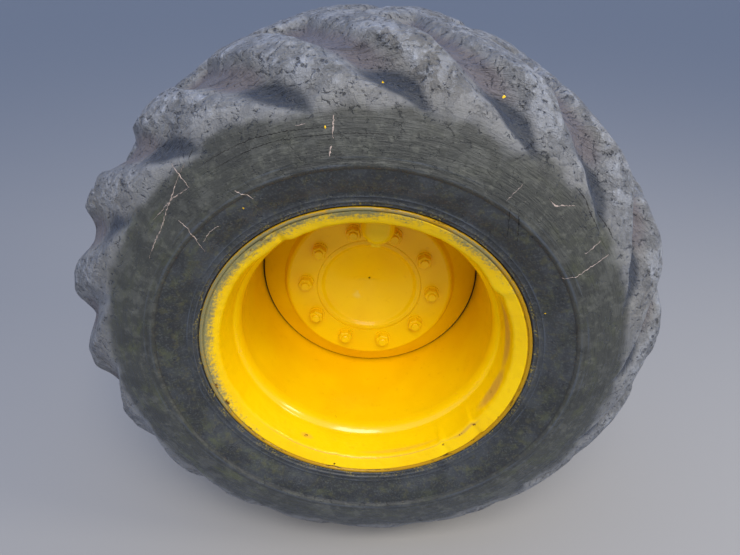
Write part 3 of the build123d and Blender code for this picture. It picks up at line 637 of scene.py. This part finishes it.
        # Moss grows low on the wheel and on its left most.
        low = smooth(0.1, 0.8, -np.sin(turn))
        left = smooth(0.2, 0.9, -np.cos(turn - math.radians(10)))
        right = smooth(0.5, 0.95, np.cos(turn))
        moss = 0.2 + 0.4 * low + 0.7 * left + 0.5 * right
        moss = moss * smooth(-0.4, 0.7, lumps(turn, run, 10, 34 * MM, 2.5))
        from_rib = np.abs(radius - RIB_RADIUS)
        rings = sum(np.exp(-((radius - ring * MM) / (half * MM * 0.8)) ** 4) for ring, _, half in WALL_RINGS)
        sprayed = smooth(-0.3, 0.5, lumps(turn, run, 11, 14 * MM, 4))
        hollow = tread * (1 - tops)
        late = smooth(285 * MM, 345 * MM, run)
        fields = {
            "grain": np.stack([0.2 * np.cos(turn), 0.2 * np.sin(turn), run], axis=-1),
            "tread": tread,
            "crest": tread * smooth(0.6, 0.95, tops) * smooth(380 * MM, 300 * MM, reach),
            "groove": hollow * (1 - late),
            # Painted shade in the grooves' outer ends, weighted towards the wheel's upper right.
            "groove_tail_shade": hollow * late * (0.35 + 0.65 * smooth(-0.4, 0.3, np.cos(turn - 1.0))),
            "lower": below * wall,
            # The raised rings carry a painted highlight.
            "ring": wall * rings * (0.75 + 0.5 * lumps(turn, run, 12, 24 * MM, 4)),
            # Painted shade in the creases on both sides of the rib.
            "rib_crease_shade": wall * smooth(11 * MM, 8 * MM, from_rib) * smooth(4 * MM, 6 * MM, from_rib),
            "moss": moss * wall * smooth(385 * MM, 405 * MM, radius),
            "overspray": wall * smooth(381 * MM, 365 * MM, radius) * sprayed,
        }
        away = -np.sign(run) * (away + (lift - sink) * lean_side)
        return wheel_points(turn, radius + (lift - sink) * lean_out, away), fields

    def band(self, name, runs, inside, around):
        """A closed ring of tyre: its outside along the runs, then back by inside points (radius, away)."""
        turn = full_turn(around)
        points, fields = self.at(turn, np.array(runs)[None, :])
        radius, away = np.array(inside).T
        points = np.concatenate([points, wheel_points(turn, radius[None, :], away[None, :])], axis=1)
        for field, values in fields.items():
            pad = [(0, 0), (0, len(inside))] + [(0, 0)] * (values.ndim - 2)
            fields[field] = np.pad(values, pad)
        return band_mesh(name, points, fields)

    def strips(self, name, rows, lift, shake, seed):
        """Thin tapering strips on the skin along rows of (width, points...), as one piece."""
        rng = np.random.default_rng(seed)
        meshes = []
        for width, *stops in rows:
            turns, runs = np.array(stops, float).T
            legs = np.hypot(np.diff(turns) * MM_A_DEGREE, np.diff(runs))
            length = np.concatenate([[0], np.cumsum(legs)])
            steps = np.linspace(0, length[-1], max(6, round(length[-1] / 3)))
            turns = np.interp(steps, length, turns) + rng.normal(0, shake / MM_A_DEGREE, len(steps))
            runs = np.interp(steps, length, runs) + rng.normal(0, shake, len(steps))
            ahead_t, ahead_r = np.gradient(turns) * MM_A_DEGREE, np.gradient(runs)
            size = np.hypot(ahead_t, ahead_r) + 1e-6
            half = 0.7 * width * np.sin(np.linspace(0.05, 0.95, len(steps)) * math.pi) ** 0.6
            half = half * rng.uniform(0.15, 1.7, len(steps))
            rings = []
            for sideways, up in ((-1, -0.5), (0, lift), (1, -0.5), (0, -1.5)):
                turn = np.radians(turns + sideways * half * -ahead_r / size / MM_A_DEGREE)
                run = (runs + sideways * half * ahead_t / size) * MM
                rings.append(self.at(turn, run, up * MM)[0])
            meshes.append(band_mesh(name, np.stack(rings, axis=1), ring=False))
        first = meshes[0]
        with bpy.context.temp_override(active_object=first, selected_editable_objects=meshes):
            bpy.ops.object.join()
        first.name = name
        return first


class WHEEL_OT_tyre(bpy.types.Operator):
    """Build the tyre's skin with worn lugs, wrinkles, pits and sidewall rings"""

    bl_idname = "wheel.tyre"
    bl_label = "Tyre"

    def execute(self, context):
        skin = TyreSkin(context.scene.wheel_tyre)
        rubber = worn_rubber(context.scene.wheel_tyre)
        inside = [(TIP_RADIUS - drop * MM, HALF_WIDTH - inset * MM) for drop, inset in TYRE_INSIDE]
        outboard = [(radius, -away) for radius, away in inside]
        rib, end = skin.run_at(RIB_RADIUS - 9 * MM), skin.reach[-1]
        tread_runs = np.concatenate([
            np.linspace(0, SHOULDER_RUN, 58, endpoint=False), np.linspace(SHOULDER_RUN, rib, 44)])
        bead_runs = np.linspace(rib, end, 92)
        far_runs = np.linspace(0, end, 88)
        pieces = [
            skin.band("tyre_tread", tread_runs[::-1], outboard[:BELOW_RIB - 1:-1], TREAD_STEPS),
            skin.band("tyre_bead", bead_runs[::-1], outboard[BELOW_RIB::-1], BEAD_STEPS),
            skin.band("tyre_far_side", -far_runs, inside, TREAD_STEPS),
        ]
        for piece in pieces:
            piece.data.materials.append(rubber)
            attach(piece, WHEEL)
            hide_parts("tyre")
        scratches = skin.strips("tyre_scratches", SCRATCHES, 0.7, 0.7, 21)
        # Rubber rubbed bare to its pale filler: pinkish grey and matt.
        scratches.data.materials.append(
            plain_finish("rubber, scraped pale", linear("#b9a9a2"), "#8f857f", 0.8))
        cracks = skin.strips("tyre_cracks", CRACKS, 0.3, 0.5, 22)
        # The dark inside of open cracks: black and matt, the rubber's own black deepened by painted shade.
        cracks.data.materials.append(plain_finish("rubber split open, with painted shade", linear("#101112"), "#1c1d1e", 0.9))
        rows = [(size, (angle, run - size / 2), (angle, run + size / 2)) for angle, run, size in DROPS]
        drops = skin.strips("paint_drops", rows, 0.8, 0.3, 23)
        drops.data.materials.append(yellow_enamel(context.scene.wheel_paint, "alkyd enamel, yellow drops"))
        for piece, slot in ((scratches, "tyre_rubber"), (cracks, "tyre_rubber"), (drops, "yellow_paint")):
            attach(piece, WHEEL)
        return {"FINISHED"}


# Half section of the rim, on the tyre's side and on the axle's side:
# radius, distance from the centre plane and corner radius, in millimetres.
RIM_TYRE_SIDE = [(363, 319.5, 2.5), (363, 305, 9), (336.5, 305, 6), (336.5, 250, 8), (306.5, 222, 12)]
RIM_AXLE_SIDE = [
    (294.5, 222, 50), (308, 240, 14), (324.5, 304, 14), (352.2, 317.5, 1), (354.4, 313.5, 0.8),
    (356, 319.5, 2.5),
]
LIP = (354.4, -316)         # the outboard mouth's lip: radius and distance, in millimetres
COARSE_STEP = 6             # along the section, in millimetres
FINE_STEP = 2.6             # the same, in the mouth that shows
RIM_STEPS = 640             # round the wheel
# Dents of the outboard flange: angle, spread towards greater and towards lesser angles in degrees,
# push towards the axle and back, in millimetres.
FLANGE_DENTS = [
    (116.0, 3.0, 13.0, 6.0, 2.0), (119.6, 1.3, 1.3, -3.0, 3.0), (127.0, 7.0, 6.0, 4.5, 3.0),
    (33.5, 9.0, 2.5, 6.0, 2.5), (28.0, 2.0, 4.0, -2.5, 1.5), (92.0, 10.0, 16.0, 2.5, 1.5),
    (-54.8, 1.5, 1.5, 2.5, 2.0), (-38.5, 1.0, 4.0, 3.5, 3.0), (160.0, 14.0, 14.0, 2.0, 1.0),
    (-157.0, 3.0, 3.0, 2.0, 1.0), (-103.0, 1.5, 1.5, 1.5, 1.5),
]
# Rubbed stretches of the flange: angle, half width in degrees, strength.
FLANGE_SCUFFS = [
    (93, 9, 1.0), (78, 8, 0.6), (112, 12, 0.8), (135, 20, 1.0), (165, 18, 1.0), (190, 18, 0.8),
    (212, 12, 0.4), (52, 12, 0.8), (36, 8, 0.4),
]
# Stained and chipped places of the mouth: angle, distance along its section back from the lip in
# millimetres, half width in degrees and in millimetres, strength.
MOUTH_STAINS = [
    (8, 62, 20, 16, 1.0), (-20, 56, 14, 16, 1.0), (-75, 48, 24, 7, 0.5), (-118, 62, 4, 9, 0.6),
    (-95, 33, 62, 2.2, 0.9), (-42, 30, 9, 5, 0.8),
]
MOUTH_CHIPS = [
    (-165.7, 4, 1.6, 7, 1.0), (-157.1, 6, 1.8, 8, 1.0), (-142, 3, 1.6, 4, 0.9), (-103, 9, 0.8, 4, 1.0),
    (-106, 10, 0.5, 3, 0.8), (-118.5, 62, 2.2, 6, 0.62), (-54.8, 26, 1.2, 4, 0.75), (-38, 28, 1.6, 5, 0.8),
    (-46, 30, 3.0, 3, 0.6), (-22, 60, 2.5, 8, 0.55), (12, 3, 0.8, 4, 0.8), (-28, 3, 0.8, 4, 0.8),
    (124.5, 5.5, 2.5, 2.2, 0.9), (130.5, 8.5, 2.0, 2.4, 0.9),
]


class WHEEL_OT_rim(bpy.types.Operator):
    """Build the rim with its dented, rubbed and chipped flange"""

    bl_idname = "wheel.rim"
    bl_label = "Rim"

    def execute(self, context):
        rows = [(radius, -away, corner, COARSE_STEP) for radius, away, corner in RIM_TYRE_SIDE]
        for side in (RIM_TYRE_SIDE, RIM_AXLE_SIDE):
            rows += [(radius, away, corner, COARSE_STEP) for radius, away, corner in reversed(side)]
        rows += [(radius, -away, corner, FINE_STEP) for radius, away, corner in RIM_AXLE_SIDE]
        coarse = rounded([tuple(value * MM for value in row) for row in rows], 30 * MM)
        # The outboard mouth is cut finer than the rest, and measured back from the lip.
        section = []
        for place, (here, after) in enumerate(zip(coarse, np.roll(coarse, -1, axis=0))):
            fine = place > len(coarse) / 2 and max(here[1], after[1]) < -235 * MM
            fine = fine and min(here[0], after[0]) < 357 * MM
            count = max(1, math.ceil(np.linalg.norm(after - here) / (FINE_STEP * MM))) if fine else 1
            section += [here + (after - here) * k / count for k in range(count)]
        section = np.array(section)
        slope = np.roll(section, -1, axis=0) - np.roll(section, 1, axis=0)
        size = np.linalg.norm(slope, axis=1)
        lean_out, lean_side = slope[None, :, 1] / size, -slope[None, :, 0] / size
        radius, away = section[None, :, 0], section[None, :, 1]
        length = np.cumsum(np.linalg.norm(section - np.roll(section, 1, axis=0), axis=1))
        at_lip = int(np.argmin(np.hypot(*(section - np.array(LIP) * MM).T)))
        back_from_lip = (length[at_lip] - length)[None, :]
        back_from_lip = np.where(back_from_lip > length[-1] / 2, back_from_lip - length[-1], back_from_lip)
        turn = full_turn(RIM_STEPS)
        angle = np.degrees(turn)
        mouth = smooth(-232 * MM, -300 * MM, away) * smooth(357 * MM, 350 * MM, radius)
        inner = smooth(354 * MM, 326 * MM, radius)
        face = smooth(-296 * MM, -306 * MM, away) * smooth(357 * MM, 355 * MM, radius)

        def turned_from(place):
            """Degrees from a place on the flange, either way."""
            return (angle - place + 180) % 360 - 180

        def spots(places):
            """How strongly stains or chips show."""
            total = 0.0
            for place, along, half_turn, half, strength in places:
                off = np.hypot(turned_from(place) / half_turn, (back_from_lip - along * MM) / (half * MM))
                total = np.maximum(total, strength * smooth(1.3, 0.3, off))
            return total

        inward, back = 0.0, 0.0
        for place, ahead, behind, push_in, push_back in FLANGE_DENTS:
            off = turned_from(place)
            dent = bell(off, np.where(off > 0, ahead, behind))
            inward, back = inward + dent * push_in * MM, back + dent * push_back * MM
        ripple = 0.9 * lumps(turn, radius - away, 31, 60 * MM) + 0.4 * lumps(turn, radius - away, 32, 25 * MM)
        sink = np.abs(ripple) * MM * mouth
        # The flange is torn at its dent, and the torn edge curls up in a wavy line.
        tear = (9 + 5 * smooth(122, 133, angle) + 1.6 * np.sin(np.radians(angle * 75))) * MM
        curl = bell(back_from_lip - tear, 2.2 * MM) * smooth(121, 123, angle) * smooth(134, 132, angle)
        points = wheel_points(turn, radius - sink * lean_out - inward * mouth * inner,
                              away - sink * lean_side + back * face - 3 * MM * curl * face)
        veil = np.max([strength * smooth(1.6, 0.4, np.abs(turned_from(place)) / half)
                       for place, half, strength in FLANGE_SCUFFS], axis=0)
        ragged = 3 * MM * lumps(turn, radius - away, 33, 30 * MM, 2)
        scuff = veil * smooth(34 * MM, 2 * MM, back_from_lip + ragged)
        scuff = scuff * smooth(-12 * MM, -8 * MM, back_from_lip)
        gloss = smooth(320 * MM, 312 * MM, radius) * smooth(-190 * MM, -205 * MM, away)
        fields = {
            "scuff": scuff * smooth(-270 * MM, -290 * MM, away),
            "stain": spots(MOUTH_STAINS),
            "chip": spots(MOUTH_CHIPS),
            "lip": smooth(352 * MM, 354 * MM, radius) * smooth(-306 * MM, -311 * MM, away) + 0 * turn,
            "gloss": gloss * smooth(-260 * MM, -248 * MM, away) + 0 * turn,
            "grain": np.stack(np.broadcast_arrays(
                0.05 * np.cos(turn), 0.05 * np.sin(turn), length[None, :]), axis=-1),
        }
        rim = band_mesh("rim_skin", points, fields)
        rim.data.materials.append(yellow_enamel(
            context.scene.wheel_paint, "alkyd enamel, sprayed yellow, rubbed at the flange", worn=True))
        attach(rim, WHEEL)
        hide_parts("rim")
        return {"FINISHED"}


# Rings in the disc's gaps: inner and outer radius, back and front along the axle, in millimetres.
CREVICE = (288.8, 294.4, -336, -345)
COVER_FILL = (138.6, 140.4, -407.2, -409.8)


class WHEEL_OT_disc(bpy.types.Operator):
    """Finish the disc, its weld, the cover, the guard, the nuts, washers and studs"""

    bl_idname = "wheel.disc"
    bl_label = "Disc and nuts"

    def execute(self, context):
        settings = context.scene.wheel_paint
        paint = yellow_enamel(settings)
        dress(paint, "wheel_disc", "disc_weld", "valve_guard")
        # A pale mottled spot on the cover: a painted glint.
        glint_centre = (-30 * MM, COVER_LOW.y + 25 * MM, -38 * MM)
        dress(yellow_enamel(settings, "alkyd enamel, painted glint", patch=(glint_centre, 22 * MM)), "hub_cover")
        for place in range(1, NUT_COUNT + 1):
            dress(paint, f"wheel_nut_{place:02d}", f"nut_washer_{place:02d}", f"wheel_stud_{place:02d}")
        # A black-brown ring painted into the crevice where the barrel meets the disc stands for its shade,
        # and paint nearly fills the gap round the cover.
        crevice_shade = plain_finish("black-brown painted shade", linear("#2a1a0c"), "#1d130b", 0.8)
        filled = yellow_enamel(settings, "alkyd enamel, run into a gap")
        for name, material, slot, (inner, outer, back, front) in (
                ("crevice_line", crevice_shade, "dark_paint", CREVICE),
                ("cover_gap_fill", filled, "yellow_paint", COVER_FILL)):
            radii = np.array([[inner, outer, outer, inner]]) * MM
            away = np.array([[front, front, back, back]]) * MM - CENTRE_Y
            ring = band_mesh(name, wheel_points(full_turn(360), radii, away))
            ring.data.materials.append(material)
            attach(ring, WHEEL)
        return {"FINISHED"}


class WHEEL_OT_hub(bpy.types.Operator):
    """Finish the hub, spindle, shaft, ring and valve"""

    bl_idname = "wheel.hub"
    bl_label = "Hub and spindle"

    def execute(self, context):
        dark = tuple(context.scene.wheel_paint.dark)
        # Satin enamel on rough castings: dark, a little dusty in its pores.
        dress(plain_finish("satin enamel on cast iron", dark, "#4a463f", 0.55), "hub", "spindle", "dust_ring")
        # Turned steel that has been greased: grey metal with soft dark stains.
        dress(plain_finish("turned steel, oiled", linear("#8a8782"), "#5c574f", 0.38, 1.0), "drive_shaft")
        # Free-cutting brass, gone dull: brown-gold metal.
        dress(plain_finish("free-cutting brass, dull", linear("#a98c4e"), "#6f5b33", 0.45, 1.0), "valve_stem")
        # Moulded nylon: black and matt.
        dress(plain_finish("nylon, moulded black", linear("#1d1d1e"), "#2c2b29", 0.6), "valve_cap")
        return {"FINISHED"}


def soft_lamp(name, code, place, size, power, aim_y):
    """A square lamp that faces a point of the axle."""
    lamp = bpy.data.lights.new(name, "AREA")
    lamp.energy = power
    lamp.size = size
    lamp.color = linear(code)[:3]
    made = bpy.data.objects.new(name, lamp)
    bpy.context.scene.collection.objects.link(made)
    made.location = place
    towards = Vector((0, aim_y, 0)) - made.location
    made.rotation_euler = towards.to_track_quat("-Z", "Y").to_euler()


class WHEEL_OT_stage(bpy.types.Operator):
    """Set the floor, the lights and the camera"""

    bl_idname = "wheel.stage"
    bl_label = "Stage"

    def execute(self, context):
        scene, stage = context.scene, context.scene.wheel_stage
        bpy.ops.mesh.primitive_plane_add(size=40, location=(0, 0, -TYRE_HIGH.z))
        floor = context.object
        floor.name = "floor"
        # Painted board: pale, matt and plain.
        board = start_material("pale matt floor", {"Base Color": linear("#a5a4a1"), "Roughness": 0.9})[0]
        floor.data.materials.append(board)
        # A soft sky: pale at the horizon and bluer and brighter overhead.
        scene.world = bpy.data.worlds.new("sky")
        scene.world.use_nodes = True
        tree = scene.world.node_tree
        way = add_node(tree, "ShaderNodeTexCoord", out="Generated")
        up = add_node(tree, "ShaderNodeSeparateXYZ", {0: way}, out="Z")
        colour = marks(tree, tuple(stage.horizon), [(stage.sky, up, 0.0, 0.9)])
        tree.links.new(colour, tree.nodes["Background"].inputs["Color"])
        tree.nodes["Background"].inputs["Strength"].default_value = stage.sky_strength
        soft_lamp(
            "soft window", "#fff6ea", stage.window_place, stage.window_size, stage.window_power, CENTRE_Y)
        soft_lamp("small lamp", "#fff3d8", stage.lamp_place, stage.lamp_size, stage.lamp_power, DISC_LOW.y)
        scene.view_settings.view_transform = "Standard"
        lens = bpy.data.cameras.new("camera")
        lens.sensor_width = 36
        lens.lens = stage.lens
        view = bpy.data.objects.new("camera", lens)
        scene.collection.objects.link(view)
        view.location = (stage.camera_side, DISC_LOW.y - stage.camera_away, stage.camera_height)
        view.rotation_euler = (math.radians(90) - stage.camera_pitch, 0, stage.camera_yaw)
        scene.camera = view
        return {"FINISHED"}


class WHEEL_PT_panel(bpy.types.Panel):
    """Lists the wheel's operators"""

    bl_idname = "WHEEL_PT_panel"
    bl_label = "Forestry bogie wheel"
    bl_space_type = "VIEW_3D"
    bl_region_type = "UI"
    bl_category = "Wheel"

    def draw(self, context):
        for kind in OPERATORS:
            self.layout.operator(kind.bl_idname)


OPERATORS = (WHEEL_OT_tyre, WHEEL_OT_rim, WHEEL_OT_disc, WHEEL_OT_hub, WHEEL_OT_stage)
SETTINGS = {"wheel_tyre": TyreSettings, "wheel_paint": PaintSettings, "wheel_stage": StageSettings}


def register():
    for kind in (*SETTINGS.values(), *OPERATORS, WHEEL_PT_panel):
        bpy.utils.register_class(kind)
    for name, kind in SETTINGS.items():
        setattr(bpy.types.Scene, name, bpy.props.PointerProperty(type=kind))


def unregister():
    for name in SETTINGS:
        delattr(bpy.types.Scene, name)
    for kind in reversed((*SETTINGS.values(), *OPERATORS, WHEEL_PT_panel)):
        bpy.utils.unregister_class(kind)


def main():
    register()
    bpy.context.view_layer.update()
    bpy.ops.wheel.tyre()
    bpy.ops.wheel.rim()
    bpy.ops.wheel.disc()
    bpy.ops.wheel.hub()
    bpy.ops.wheel.stage()


if __name__ == "__main__":
    main()
